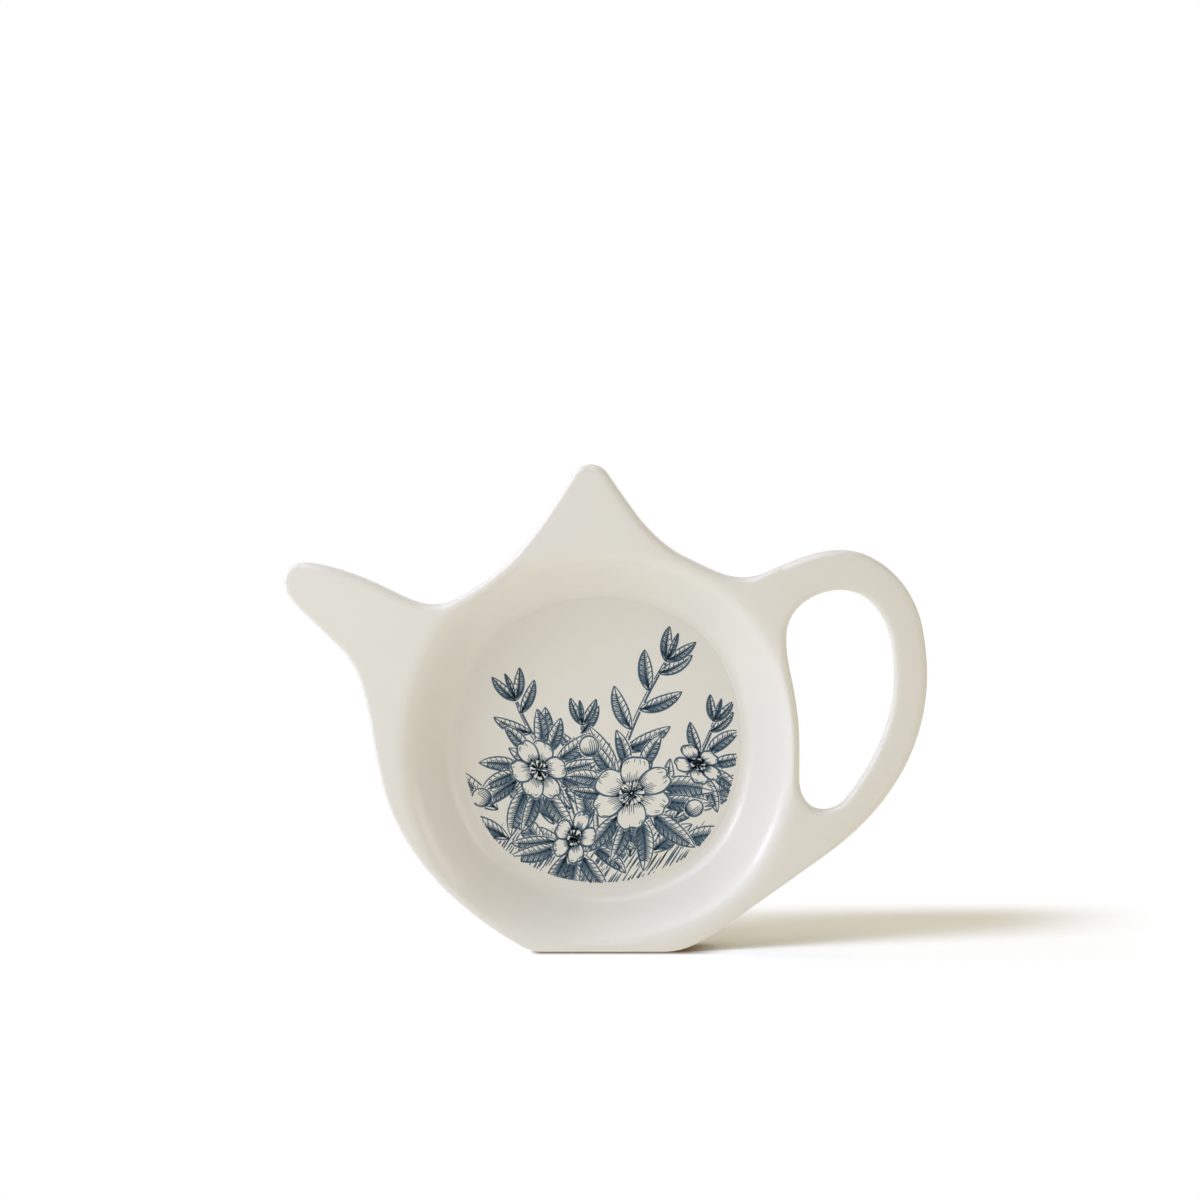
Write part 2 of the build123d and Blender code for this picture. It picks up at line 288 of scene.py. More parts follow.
# dish: the moulding's own solid with its skin eased, its front edge squared and its handle leant back
dishLook = {
    "grain": 0.00062,        # metres between the skin's points
    "easing": 24,            # rounds of smoothing
    "easeFactor": 0.5,
    "weightSteps": 20,
    "swell": 0.00012,        # what the easing takes off an edge
    "swellFrom": (0.001, 0.004),   # height over which the swell sets in
    "front": -0.0065,        # the flange's face
    "edgeRound": 0.0026,     # its round in the solid
    "edgeSquareness": 3.5,   # how crisp the edge is, 2 being round
    "edgeEasing": 0.4,       # share of the easing that it gets
    "edgeReach": (0.0025, 0.006),  # metres from the silhouette over which that rises to all of it
    "squareReach": 0.4,      # share of the round over which the squaring sets in
    "crispSquareness": 16.0,  # the same along the base and under the handle
    "crispEasing": 0.05,
    "crispBelow": (0.022, 0.030),      # height over which that edge ends
    "crispRight": (-0.0185, -0.0145),  # and where it begins, from left to right
    "leftFacing": (0.15, 0.55),    # edges that face the window are crisp too, by this share of their normal
    "leftOf": 0.045,         # but not those of the handle
    "flangeFrom": 0.042,     # metres from the well's axis: inside of this is the well
    "cornerPull": 0.11,      # share of the round from which points are drawn onto its very corner
    "pullCrispness": 0.5,    # crispness from which they are
    "pullReach": 0.5,        # and share of the round that is left alone
    "handleFrom": 0.047,     # right of this the handle's face leans back a little
    "handleLean": 0.060,
    "handleBlend": 0.006,
    "flangeBack": -0.0019,
    "backEasing": 70,        # more rounds where the bowl's back runs out behind the handle and the lid
    "backAbove": 0.030,
    "backReach": (0.043, 0.049),   # metres from the well's axis: where that begins and where it is full
    "backDepth": (-0.0012, 0.0008),
    "weld": 1e-6,            # metres within which points are one
    "hair": 1e-7,            # metres that don't count
    "leastRun": 1e-9,        # metres, so that nothing is divided by nought
    "batch": 2000,           # points that are looked at in one go
}


def smoothStep(value, low, high):
    share = np.clip((value - low) / (high - low), 0, 1)
    return share * share * (3 - 2 * share)


# nearest point of the silhouette
def silhouetteFeet(places, starts, ends):
    runs = ends - starts
    found = []
    for some in np.array_split(places, len(places) // dishLook["batch"] + 1):
        shares = ((some[:, None] - starts) * np.conj(runs)).real / abs(runs) ** 2
        feet = starts + np.clip(shares, 0, 1) * runs
        nearest = abs(some[:, None] - feet).argmin(axis=1)
        found.append(feet[np.arange(len(some)), nearest])
    return np.concatenate(found)


# where the silhouette's edge is crisp: along the base, and where it faces left
def baseCrispness(feet):
    low = 1 - smoothStep(feet.imag, *dishLook["crispBelow"])
    return low * smoothStep(feet.real, *dishLook["crispRight"])


def crispness(feet, inward):
    facing = inward.real / np.maximum(abs(inward), dishLook["leastRun"])
    left = smoothStep(facing, *dishLook["leftFacing"]) * (feet.real < dishLook["leftOf"])
    return 1 - (1 - baseCrispness(feet)) * (1 - left)


# moves the points of the edge's round out towards its corner
def squareEdge(spots, starts, ends, pull):
    look = dishLook
    edgeRound = look["edgeRound"]
    seam = look["front"] + edgeRound
    places = spots[:, 0] + 1j * spots[:, 2]
    feet = silhouetteFeet(places, starts, ends)
    inward = places - feet
    far = abs(inward)
    edge = (far < edgeRound) & (far > look["hair"]) & (spots[:, 1] < seam - look["hair"])
    out = 1 - far[edge] / edgeRound
    forward = (seam - spots[edge, 1]) / edgeRound
    crisp = crispness(feet[edge], inward[edge])
    onCorner = (abs(out - forward) < pull) * (out > look["pullReach"])
    drawn = smoothStep(crisp, look["pullCrispness"], 1) * onCorner
    amount = smoothStep(out, 0, look["squareReach"])
    out += (1 - out) * drawn
    forward += (1 - forward) * drawn
    power = look["edgeSquareness"] + (look["crispSquareness"] - look["edgeSquareness"]) * crisp
    reach = (out ** power + forward ** power) ** (-1 / power)
    reach = 1 + (reach - 1) * amount
    moved = feet[edge] + inward[edge] / far[edge] * edgeRound * np.clip(1 - out * reach, 0, 1)
    spots[edge, 0] = moved.real
    spots[edge, 2] = moved.imag
    spots[edge, 1] = np.maximum(look["front"], seam - edgeRound * forward * reach)


# the solid's mesh with its front edge squared, and the silhouette as runs from start to end
def squaredSkin():
    look = dishLook
    skin = bmesh.new()
    skin.from_mesh(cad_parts["dish_moulding"].data)
    bmesh.ops.remove_doubles(skin, verts=skin.verts, dist=look["weld"])
    skin.normal_update()
    skin.verts.index_update()
    spots = np.array([vert.co for vert in skin.verts])
    normals = np.array([vert.normal for vert in skin.verts])
    onSeam = abs(spots[:, 1] - look["front"] - look["edgeRound"]) < look["weld"]
    seams = np.array([[vert.index for vert in edge.verts] for edge in skin.edges])
    seams = seams[onSeam[seams].all(axis=1)]
    outline = spots[:, 0] + 1j * spots[:, 2]
    starts, ends = outline[seams[:, 0]], outline[seams[:, 1]]
    squareEdge(spots, starts, ends, 0)
    sideways = (1, 0, 1)
    spots += look["swell"] * normals * sideways * smoothStep(spots[:, 2], *look["swellFrom"])[:, None]
    for vert, spot in zip(skin.verts, spots):
        vert.co = spot
    mesh = bpy.data.meshes.new("dishSkin")
    skin.to_mesh(mesh)
    skin.free()
    return mesh, starts, ends


def addEasing(host, name, weights):
    group = host.vertex_groups.new(name=name)
    steps = dishLook["weightSteps"]
    for step in range(1, steps + 1):
        chosen = np.flatnonzero(np.round(weights * steps) == step)
        if len(chosen):
            group.add(chosen.tolist(), step / steps, "REPLACE")
    ease = host.modifiers.new(name, "SMOOTH")
    ease.factor = dishLook["easeFactor"]
    ease.iterations = dishLook[name]
    ease.vertex_group = name


def leanHandle(points):
    look = dishLook
    past = points[:, 0] - look["handleFrom"]
    back = look["handleLean"] * (past + np.hypot(past, look["handleBlend"])) / 2
    share = (look["flangeBack"] - points[:, 1]) / (look["flangeBack"] - look["front"])
    points[:, 1] += back * np.clip(share, 0, 1)


def addDish(material):
    look = dishLook
    mesh, starts, ends = squaredSkin()
    coarse = newPiece("dishSkin", mesh)
    remesh = coarse.modifiers.new("skin", "REMESH")
    remesh.mode = "VOXEL"
    remesh.voxel_size = look["grain"]
    remesh.use_smooth_shade = True
    host = newPiece("dishEased", bakedMesh(coarse))
    points = np.empty(len(host.data.vertices) * 3)
    host.data.vertices.foreach_get("co", points)
    points = points.reshape(-1, 3)
    weights = np.ones(len(points))
    wellFar = np.hypot(points[:, 0], points[:, 2] - foilLook["axisHeight"])
    flange = np.flatnonzero((points[:, 1] < 0) & (wellFar > look["flangeFrom"]))
    places = points[flange, 0] + 1j * points[flange, 2]
    feet = silhouetteFeet(places, starts, ends)
    least = look["edgeEasing"] + (look["crispEasing"] - look["edgeEasing"]) * baseCrispness(feet)
    weights[flange] = least + (1 - least) * smoothStep(abs(places - feet), *look["edgeReach"])
    addEasing(host, "easing", weights)
    behind = smoothStep(wellFar, *look["backReach"]) * smoothStep(points[:, 1], *look["backDepth"])
    addEasing(host, "backEasing", behind * (points[:, 2] > look["backAbove"]))
    eased = bakedMesh(host)
    eased.vertices.foreach_get("co", points.ravel())
    flangeSpots = points[flange]
    squareEdge(flangeSpots, starts, ends, look["cornerPull"])
    points[flange] = flangeSpots
    leanHandle(points)
    eased.vertices.foreach_set("co", points.ravel())
    eased.update()
    eased.materials.clear()
    eased.materials.append(material)
    dish = newPiece("dish", eased)
    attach(dish, "root")
    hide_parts("dish_moulding")
    print("dish:", len(eased.polygons), "faces")
    return dish


# decor foil: fused flush into the well floor, its edge feathered over the recess so that no seam shows
foilLook = {
    "axisHeight": 0.0514,     # of the well's axis above the base
    "halfWidth": 0.0356,
    "innerRing": 0.002,       # metres in from the edge: a ring that keeps the faces even
    "flatTo": 0.0004,         # and where the front stops being flat
    "lap": 0.00028,           # over the edge of the recess
    "front": 0.00587,         # just proud of the moulded floor at 0.0059
    "edge": 0.005895,
    "edgeThickness": 0.00002,
    "back": 0.00605,
    "arcSteps": 18,
}
# the well's outline at its rim, which the foil repeats further in
wellRim = {
    "halfWidth": 0.051,
    "tallness": 1.031,        # half height, as a share of the half width
    "cornerRound": 0.040,
    "bulge": 0.0026,
    "across": 0.0084,
    "up": 0.010,
}


def wellOutline(halfWidth, steps):
    inset = wellRim["halfWidth"] - halfWidth
    corner, bulge, across, up = (wellRim[key] for key in ("cornerRound", "bulge", "across", "up"))
    sideRound = corner + bulge / 2 + up ** 2 / (2 * bulge)
    topRound = corner + bulge / 2 + across ** 2 / (2 * bulge)
    sideX = wellRim["halfWidth"] - sideRound
    topZ = wellRim["halfWidth"] * wellRim["tallness"] - topRound
    sideTurn = atan2(up, across - sideX)
    topTurn = pi / 2 - atan2(across, up - topZ)
    side = (complex(sideX, 0), sideRound, 0, sideTurn)
    shoulder = (complex(across, up), corner, sideTurn, topTurn)
    crown = (complex(0, topZ), topRound, topTurn, pi / 2)
    quarter = []
    for centre, arcRound, first, last in (side, shoulder, crown):
        turns = np.linspace(first, last, steps, endpoint=False)
        quarter.extend(centre + (arcRound - inset) * np.exp(1j * turns))
    quarter = np.array(quarter)
    top = np.array([1j * (topZ + topRound - inset)])
    upper = np.concatenate([quarter, top, -np.conj(quarter[:0:-1])])
    return np.concatenate([upper, -quarter, -top, np.conj(quarter[:0:-1])])


def addFoil(material):
    look = foilLook
    half = look["halfWidth"]
    rings = [
        (half - look["innerRing"], look["front"]),
        (half - look["flatTo"], look["front"]),
        (half + look["lap"], look["edge"]),
        (half + look["lap"], look["edge"] + look["edgeThickness"]),
        (half, look["back"]),
    ]
    shape = bmesh.new()
    loops = []
    for halfWidth, depth in rings:
        outline = wellOutline(halfWidth, look["arcSteps"])
        loops.append([shape.verts.new((p.real, depth, look["axisHeight"] + p.imag)) for p in outline])
    count = len(loops[0])
    for inner, outer in zip(loops, loops[1:]):
        for k in range(count):
            shape.faces.new((inner[k], outer[k], outer[(k + 1) % count], inner[(k + 1) % count]))
    shape.faces.new(loops[0])
    shape.faces.new(loops[-1][::-1])
    bmesh.ops.recalc_face_normals(shape, faces=shape.faces)
    mesh = bpy.data.meshes.new("foil")
    shape.to_mesh(mesh)
    shape.free()
    mesh.materials.append(material)
    foil = newPiece("foil", mesh)
    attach(foil, "root")
    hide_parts("decor_foil")
    print("foil:", len(mesh.polygons), "faces")
    return foil


# print: tea plants in fine navy lines, drawn front to back so that what is nearer hides what is behind
inkLook = {
    "darkColour": (0.051, 0.109, 0.164, 1),
    "paleColour": (0.055, 0.119, 0.184, 1),
    "patches": 700.0,        # of darker and paler ink to the metre
    "patchDetail": 3.0,
    "roughness": 0.3,
    "roughnessSpread": 0.1,
    "proud": 0.00003,        # metres in front of the foil
    "lineWidth": 1.40,       # times the drawn width
    "dotSides": 7,
    "margin": 0.0009,        # bare foil left at its edge
    "halo": 0.30,            # millimetres of bare foil around a nearer shape
    "shortest": 2,           # steps of a line that is still drawn
    "leastPoints": 3,        # that a line keeps
    "seed": 11,
}


def direction(turn):
    return np.exp(1j * turn)


def insideOf(points, outline):
    found = np.zeros(len(points), bool)
    near = (points.real > outline.real.min()) & (points.real < outline.real.max())
    near &= (points.imag > outline.imag.min()) & (points.imag < outline.imag.max())
    if near.any():
        across = points.real[near][:, None]
        height = points.imag[near][:, None]
        ahead = np.roll(outline, -1)
        crossed = (outline.imag > height) != (ahead.imag > height)
        rise = np.where(crossed, ahead.imag - outline.imag, 1.0)
        meets = outline.real + (height - outline.imag) * (ahead.real - outline.real) / rise
        found[near] = (crossed & (across < meets)).sum(axis=1) % 2 == 1
    return found


# one drawing in millimetres from the well's axis: strokes, dots, and the shapes that hide others; a stroke is
# its points, their half widths, and how many points it keeps
class Drawing:
    def __init__(self, limit):
        self.limit = limit
        self.covers = []
        self.strokes = []
        self.dots = []

    def shows(self, points):
        shown = insideOf(points, self.limit)
        for cover in self.covers:
            shown &= ~insideOf(points, cover)
        return shown

    def add(self, strokes, cover, dots=()):
        for points, widths, kept in strokes:
            shown = self.shows(points)
            edges = np.flatnonzero(np.diff(np.concatenate([[0], shown.astype(int), [0]])))
            for first, last in zip(edges[::2], edges[1::2] - 1):
                if last - first < inkLook["shortest"]:
                    continue
                count = max(inkLook["leastPoints"], round(kept * (last - first) / (len(points) - 1)))
                picks = np.linspace(first, last, count)
                order = np.arange(len(points))
                smooth = np.interp(picks, order, points.real) + 1j * np.interp(picks, order, points.imag)
                self.strokes.append((smooth, np.interp(picks, order, widths)))
        for point, size in dots:
            if self.shows(np.array([point]))[0]:
                self.dots.append((point, size))
        if cover is not None:
            self.covers.append(cover)


def taper(count, thick, thin):
    return np.linspace(thick, thin, count)


# half height of an oval
def arch(x, middle, half):
    return np.sqrt(np.clip(1 - ((x - middle) / half) ** 2, 0, 1))


# a serrated leaf with a midrib, side veins and hatching that is longer on its shaded half; lines are half
# widths in millimetres, places along the leaf are shares of its length
leafLook = {
    "points": 61,
    "kept": 40,
    "fullness": 2.05,
    "rootRound": 0.72,
    "tipRound": 0.86,
    "teeth": 13,
    "toothDepth": 0.055,
    "toothed": (0.15, 0.93),
    "shadedLine": 0.21,
    "paleLine": 0.14,
    "lineLeast": 0.55,
    "lineSwell": 0.45,
    "midribEnd": 0.97,
    "midribLine": (0.23, 0.09),
    "midribKept": 12,
    "veinGap": 1.55,
    "veins": (0.07, 0.80),
    "veinPoints": 25,
    "veinKept": 5,
    "veinLean": 0.19,
    "veinCurve": 0.92,
    "veinReach": 0.95,
    "veinLine": (0.13, 0.07),
    "paleTone": 0.45,
    "hatches": (1 / 3, 2 / 3),   # of the way to the next vein
    "hatchFrom": 0.05,
    "hatchMost": 0.94,
    "hatchSpread": (0.85, 1.35),
    "hatchLine": 0.10,
    "hatchSwell": 0.08,
    "hatchTip": 0.05,
    "rimTone": 0.6,              # leaves darker than this are hatched from the rim too
    "rimFrom": 0.93,
    "rimTo": (0.35, 0.6),
    "rimLine": (0.12, 0.05),
}


def leaf(drawing, draw, base, heading, size, slim, curl, tone):
    look = leafLook

    def spine(t):
        return base + size * (direction(heading + curl * t) - direction(heading)) / (1j * curl)

    def side(t):
        return 1j * direction(heading + curl * t)

    def reach(t):
        swelling = size * slim * look["fullness"] * np.clip(t, 0, 1) ** look["rootRound"]
        return swelling * np.clip(1 - t, 0, 1) ** look["tipRound"]

    shaded = -1 if cos(heading) > 0 else 1
    strokes = []
    run = np.linspace(0, 1, look["points"])
    toothFrom, toothTo = look["toothed"]
    toothed = (run > toothFrom) & (run < toothTo)
    teeth = 1 + look["toothDepth"] * ((run * look["teeth"]) % 1) * toothed
    for way in (1, -1):
        thick = look["shadedLine"] if way == shaded else look["paleLine"]
        body = thick * (look["lineLeast"] + look["lineSwell"] * np.sin(pi * run))
        strokes.append((spine(run) + way * side(run) * reach(run) * teeth, body, look["kept"]))
    midrib = taper(look["points"], *look["midribLine"])
    strokes.append((spine(run * look["midribEnd"]), midrib, look["midribKept"]))
    gap = look["veinGap"] / size
    flow = np.linspace(0, 1, look["veinPoints"])

    def rib(start, way, first, last, thick, thin):
        part = first + (last - first) * flow
        t = start + look["veinLean"] * (1 - start) * part
        points = spine(t) + way * side(t) * reach(t) * part ** look["veinCurve"]
        return points, taper(look["veinPoints"], thick, thin), look["veinKept"]

    for start in np.arange(*look["veins"], gap):
        for way in (1, -1):
            strokes.append(rib(start, way, 0, look["veinReach"], *look["veinLine"]))
            dark = tone if way == shaded else tone * look["paleTone"]
            first = look["hatchFrom"]
            thick = look["hatchLine"] + look["hatchSwell"] * dark
            thin = look["hatchTip"]
            for between in look["hatches"]:
                length = min(look["hatchMost"], dark * draw.uniform(*look["hatchSpread"]))
                strokes.append(rib(start + gap * between, way, first, first + length, thick, thin))
            if way == shaded and tone > look["rimTone"]:
                last = draw.uniform(*look["rimTo"])
                strokes.append(rib(start + gap / 2, way, look["rimFrom"], last, *look["rimLine"]))
    wide = reach(run) + inkLook["halo"]
    cover = np.concatenate([spine(run) + side(run) * wide, (spine(run) - side(run) * wide)[::-1]])
    drawing.add(strokes, cover)


# a leaf that differs from its neighbours within the habit's ranges
def variedLeaf(drawing, draw, base, heading, size, tone, habit):
    length = size * draw.uniform(*habit["size"])
    slim = draw.uniform(*habit["slim"])
    curl = draw.choice((-1, 1)) * draw.uniform(*habit["curl"])
    leaf(drawing, draw, base, heading, length, slim, curl, tone * draw.uniform(*habit["tone"]))


# an open blossom: overlapping round petals round a tuft of stamens, tipped by squash along turn; lengths
# are shares of its size, lines and anthers are half widths in millimetres
blossomLook = {
    "stamens": 44,
    "stamenSpread": 0.4,
    "stamenLength": (0.14, 0.36),
    "stamenBend": 0.5,
    "stamenRoot": 0.1,
    "stamenPoints": 15,
    "stamenKept": 4,
    "stamenLine": (0.07, 0.09),
    "anther": (0.22, 0.34),
    "heart": 0.30,               # petals are hidden inside of this
    "heartPoints": 40,
    "petalSpread": 0.12,
    "petalMiddle": 0.57,
    "petalLength": (0.40, 0.44),
    "petalWidth": 0.41,
    "petalPoints": 73,
    "petalKept": 44,
    "waist": 0.62,
    "flare": 0.38,
    "notch": 0.055,
    "notchWidth": 0.28,
    "waves": 7,
    "waveDepth": 0.012,
    "petalLine": 0.13,
    "petalSwell": 0.07,
    "veins": 11,
    "veinFan": 0.86,
    "veinArch": 0.43,
    "veinWidth": 0.40,
    "veinRoot": 0.22,
    "veinRootRise": 0.05,
    "veinLength": (0.16, 0.34),
    "veinMost": 1.25,
    "veinFall": 0.5,
    "veinPoints": 21,
    "veinKept": 5,
    "veinLine": (0.12, 0.045),
    "rimShare": 0.45,            # of the veins that also have a short line at the rim
    "rimFrom": 0.93,
    "rimFall": 0.1,
    "rimLength": (0.06, 0.14),
    "rimWidth": 0.36,
    "rimKept": 4,
    "rimLine": (0.09, 0.04),
}


def blossom(drawing, draw, centre, size, turn, squash, petals):
    look = blossomLook

    def place(points):
        return centre + direction(turn) * (points.real + 1j * squash * points.imag) * size

    strokes = []
    dots = []
    spread = look["stamenSpread"]
    flow = np.linspace(look["stamenRoot"], 1, look["stamenPoints"])
    for k in range(look["stamens"]):
        angle = 2 * pi * (k + draw.uniform(-spread, spread)) / look["stamens"]
        length = draw.uniform(*look["stamenLength"])
        bend = draw.uniform(-look["stamenBend"], look["stamenBend"])
        points = place(length * flow * direction(angle + bend * flow))
        strokes.append((points, taper(look["stamenPoints"], *look["stamenLine"]), look["stamenKept"]))
        dots.append((complex(points[-1]), draw.uniform(*look["anther"])))
    drawing.add(strokes, None, dots)
    ring = np.linspace(0, 2 * pi, look["heartPoints"], endpoint=False)
    drawing.covers.append(place(look["heart"] * direction(ring)))
    around = np.linspace(-pi, pi, look["petalPoints"])
    notch = look["notch"] * np.exp(-(around / look["notchWidth"]) ** 2)
    flow = np.linspace(0, 1, look["veinPoints"])
    for k in range(petals):
        heading = 2 * pi * (k + draw.uniform(-look["petalSpread"], look["petalSpread"])) / petals
        length = draw.uniform(*look["petalLength"])
        wave = look["waveDepth"] * np.sin(look["waves"] * around + draw.uniform(0, 2 * pi))
        along = look["petalMiddle"] + length * np.cos(around) - notch + wave
        wide = look["petalWidth"] * np.sin(around) * (look["waist"] + look["flare"] * np.clip(along, 0, 1))

        def petalLine(points, grow=1.0):
            return place(direction(heading) * points * grow)

        edge = along + 1j * wide
        edgeLine = look["petalLine"] + look["petalSwell"] * np.sin(around - turn - heading) ** 2
        petalStrokes = [(petalLine(edge), edgeLine, look["petalKept"])]
        for f in np.linspace(-look["veinFan"], look["veinFan"], look["veins"]):
            start = look["veinRoot"] + look["veinRootRise"] * abs(f)
            last = start + draw.uniform(*look["veinLength"]) * (look["veinMost"] - look["veinFall"] * abs(f))
            x = start + (last - start) * flow
            lift = arch(x, look["petalMiddle"], look["veinArch"])
            y = f * look["veinWidth"] * lift * (look["waist"] + look["flare"] * x)
            veinLine = taper(look["veinPoints"], *look["veinLine"])
            petalStrokes.append((petalLine(x + 1j * y), veinLine, look["veinKept"]))
            if draw.random() < look["rimShare"]:
                x = look["rimFrom"] - look["rimFall"] * abs(f) - draw.uniform(*look["rimLength"]) * flow
                y = f * look["rimWidth"] * arch(x, look["petalMiddle"], look["veinArch"])
                rimLine = taper(look["veinPoints"], *look["rimLine"])
                petalStrokes.append((petalLine(x + 1j * y), rimLine, look["rimKept"]))
        drawing.add(petalStrokes, petalLine(edge, 1 + inkLook["halo"] / size))


# a round bud, hatched longer on one side
budLook = {
    "points": 49,
    "kept": 24,
    "middle": 0.62,
    "length": 0.5,
    "width": 0.46,
    "coverLength": 0.56,
    "coverWidth": 0.52,
    "line": 0.13,
    "lineSwell": 0.05,
    "hatches": 8,
    "hatchFan": 0.8,
    "hatchFrom": 0.16,
    "hatchLength": 0.35,
    "shadedMore": 0.35,
    "hatchSpread": 0.12,
    "hatchPoints": 21,
    "hatchKept": 5,
    "hatchLine": (0.13, 0.05),
}


def bud(drawing, draw, base, heading, size):
    look = budLook
    ring = np.linspace(-pi, pi, look["points"])

    def place(points):
        return base + direction(heading) * points * size

    def oval(length, width):
        return place(look["middle"] + length * np.cos(ring) + 1j * width * np.sin(ring))

    line = look["line"] + look["lineSwell"] * np.sin(ring - heading) ** 2
    strokes = [(oval(look["length"], look["width"]), line, look["kept"])]
    flow = np.linspace(0, 1, look["hatchPoints"])
    for f in np.linspace(-look["hatchFan"], look["hatchFan"], look["hatches"]):
        length = look["hatchLength"] + look["shadedMore"] * (f < 0) + draw.uniform(0, look["hatchSpread"])
        x = look["hatchFrom"] + length * flow
        y = look["width"] * f * arch(x, look["middle"], look["length"])
        hatchLine = taper(look["hatchPoints"], *look["hatchLine"])
        strokes.append((place(x + 1j * y), hatchLine, look["hatchKept"]))
    drawing.add(strokes, oval(look["coverLength"], look["coverWidth"]))


# a stem on a cubic curve: a pale side, a shaded side and short cross lines
stemLook = {
    "points": 121,
    "kept": 24,
    "paleLine": 0.10,
    "shadedLine": 0.19,
    "crosses": (4, 118, 3),      # first point, end and step
    "crossPoints": 9,
    "crossKept": 3,
    "crossReach": (0.8, 1.5),
    "crossLean": 0.8,
    "crossLine": (0.11, 0.05),
}


def stem(drawing, draw, knots, thick, thin):
    look = stemLook
    run = np.linspace(0, 1, look["points"])
    even = np.ones(look["points"])
    path = stemAt(knots, run)
    along = np.gradient(path)
    side = 1j * along / abs(along)
    wide = taper(look["points"], thick, thin)
    strokes = [(path + side * wide, look["paleLine"] * even, look["kept"])]
    strokes.append((path - side * wide, look["shadedLine"] * even, look["kept"]))
    flow = np.linspace(0, 1, look["crossPoints"])
    for k in range(*look["crosses"]):
        reach = 1 - flow * draw.uniform(*look["crossReach"])
        points = path[k] - side[k] * wide[k] * reach + along[k] * flow * look["crossLean"]
        strokes.append((points, taper(look["crossPoints"], *look["crossLine"]), look["crossKept"]))
    grown = wide + inkLook["halo"]
    drawing.add(strokes, np.concatenate([path + side * grown, (path - side * grown)[::-1]]))


def stemAt(knots, t):
    a, b, c, d = knots
    return a * (1 - t) ** 3 + 3 * b * t * (1 - t) ** 2 + 3 * c * t ** 2 * (1 - t) + d * t ** 3


# a spray: a slim leaf between two others at the tip, alternate leaves below, then the stem behind them
sprayLook = {
    "tipFrom": 0.97,             # the tip's heading is taken from here on
    "tipTurn": 0.1,
    "tipSize": 0.8,
    "tipSlim": 0.13,
    "tipCurl": 0.15,
    "tipTone": 0.5,
    "pairAt": 0.985,
    "pairTurn": 0.62,
    "pairSlim": 0.2,
    "pairCurl": 0.35,
    "topLeaf": 0.90,
    "leavesOver": 0.74,          # share of the stem
    "ahead": 0.02,
    "leafTurn": (0.72, 1.0),
    "leafSize": (0.95, 1.25),
    "leafSlim": (0.19, 0.23),
    "leafCurl": (0.25, 0.6),
    "leafTone": (0.7, 1.25),
    "stemWidths": (0.52, 0.24),
}


def spray(drawing, draw, knots, count, large, small, tone):
    look = sprayLook
    tip = stemAt(knots, 1.0)
    heading = np.angle(tip - stemAt(knots, look["tipFrom"]))
    tipHeading = heading + draw.uniform(-look["tipTurn"], look["tipTurn"])
    tipSize = small * look["tipSize"]
    leaf(drawing, draw, tip, tipHeading, tipSize, look["tipSlim"], look["tipCurl"], tone * look["tipTone"])
    pairRoot = stemAt(knots, look["pairAt"])
    for way in (1, -1):
        turned = heading + way * look["pairTurn"]
        leaf(drawing, draw, pairRoot, turned, small, look["pairSlim"], -way * look["pairCurl"], tone)
    for k in range(count):
        t = look["topLeaf"] - look["leavesOver"] * k / max(1, count - 1)
        way = 1 if k % 2 else -1
        root = stemAt(knots, t)
        turn = np.angle(stemAt(knots, t + look["ahead"]) - root) + way * draw.uniform(*look["leafTurn"])
        size = small + (large - small) * (1 - t) * draw.uniform(*look["leafSize"])
        slim = draw.uniform(*look["leafSlim"])
        curl = -way * draw.uniform(*look["leafCurl"])
        leaf(drawing, draw, root, turn, size, slim, curl, tone * draw.uniform(*look["leafTone"]))
    stem(drawing, draw, knots, *look["stemWidths"])


# leaves that fan out behind a blossom
collarLook = {
    "turn": 0.12,
    "habit": {"size": (0.85, 1.15), "slim": (0.2, 0.25), "curl": (0.2, 0.55), "tone": (0.85, 1.15)},
}


def collar(drawing, draw, centre, inner, size, first, last, count, tone):
    turn = collarLook["turn"]
    for k in draw.sample(range(count), count):
        heading = radians(first + (last - first) * (k + 0.5) / count) + draw.uniform(-turn, turn)
        root = centre + inner * direction(heading)
        variedLeaf(drawing, draw, root, heading, size, tone, collarLook["habit"])


# leaves in a bowed row across the ground
rowLook = {
    "spread": 0.07,
    "bow": 6.0,
    "fan": 1.15,
    "turn": 0.25,
    "habit": {"size": (0.88, 1.1), "slim": (0.2, 0.24), "curl": (0.2, 0.6), "tone": (0.85, 1.1)},
}


def leafRow(drawing, draw, height, count, reach, size, tone):
    look = rowLook
    for k in draw.sample(range(count), count):
        share = 2 * (k + 0.5) / count - 1 + draw.uniform(-look["spread"], look["spread"])
        base = complex(reach * share, height + look["bow"] * share ** 2)
        heading = pi / 2 - share * look["fan"] + draw.uniform(-look["turn"], look["turn"])
        variedLeaf(drawing, draw, base, heading, size, tone, look["habit"])


# slanting shadow lines that fill what is still bare under the plants
groundLook = {
    "top": -17.5,
    "topWave": 3.0,
    "topWaving": 0.3,
    "reach": 48,
    "pitch": 0.85,
    "slant": 58,                 # degrees
    "heights": (-38.0, -32.5, -27.0),
    "length": (4.5, 7.5),
    "spreadAcross": 0.2,
    "spreadUp": 1,
    "points": 41,
    "kept": 4,
    "line": 0.15,
    "swellFrom": 0.15,
    "swellOver": 0.8,
}


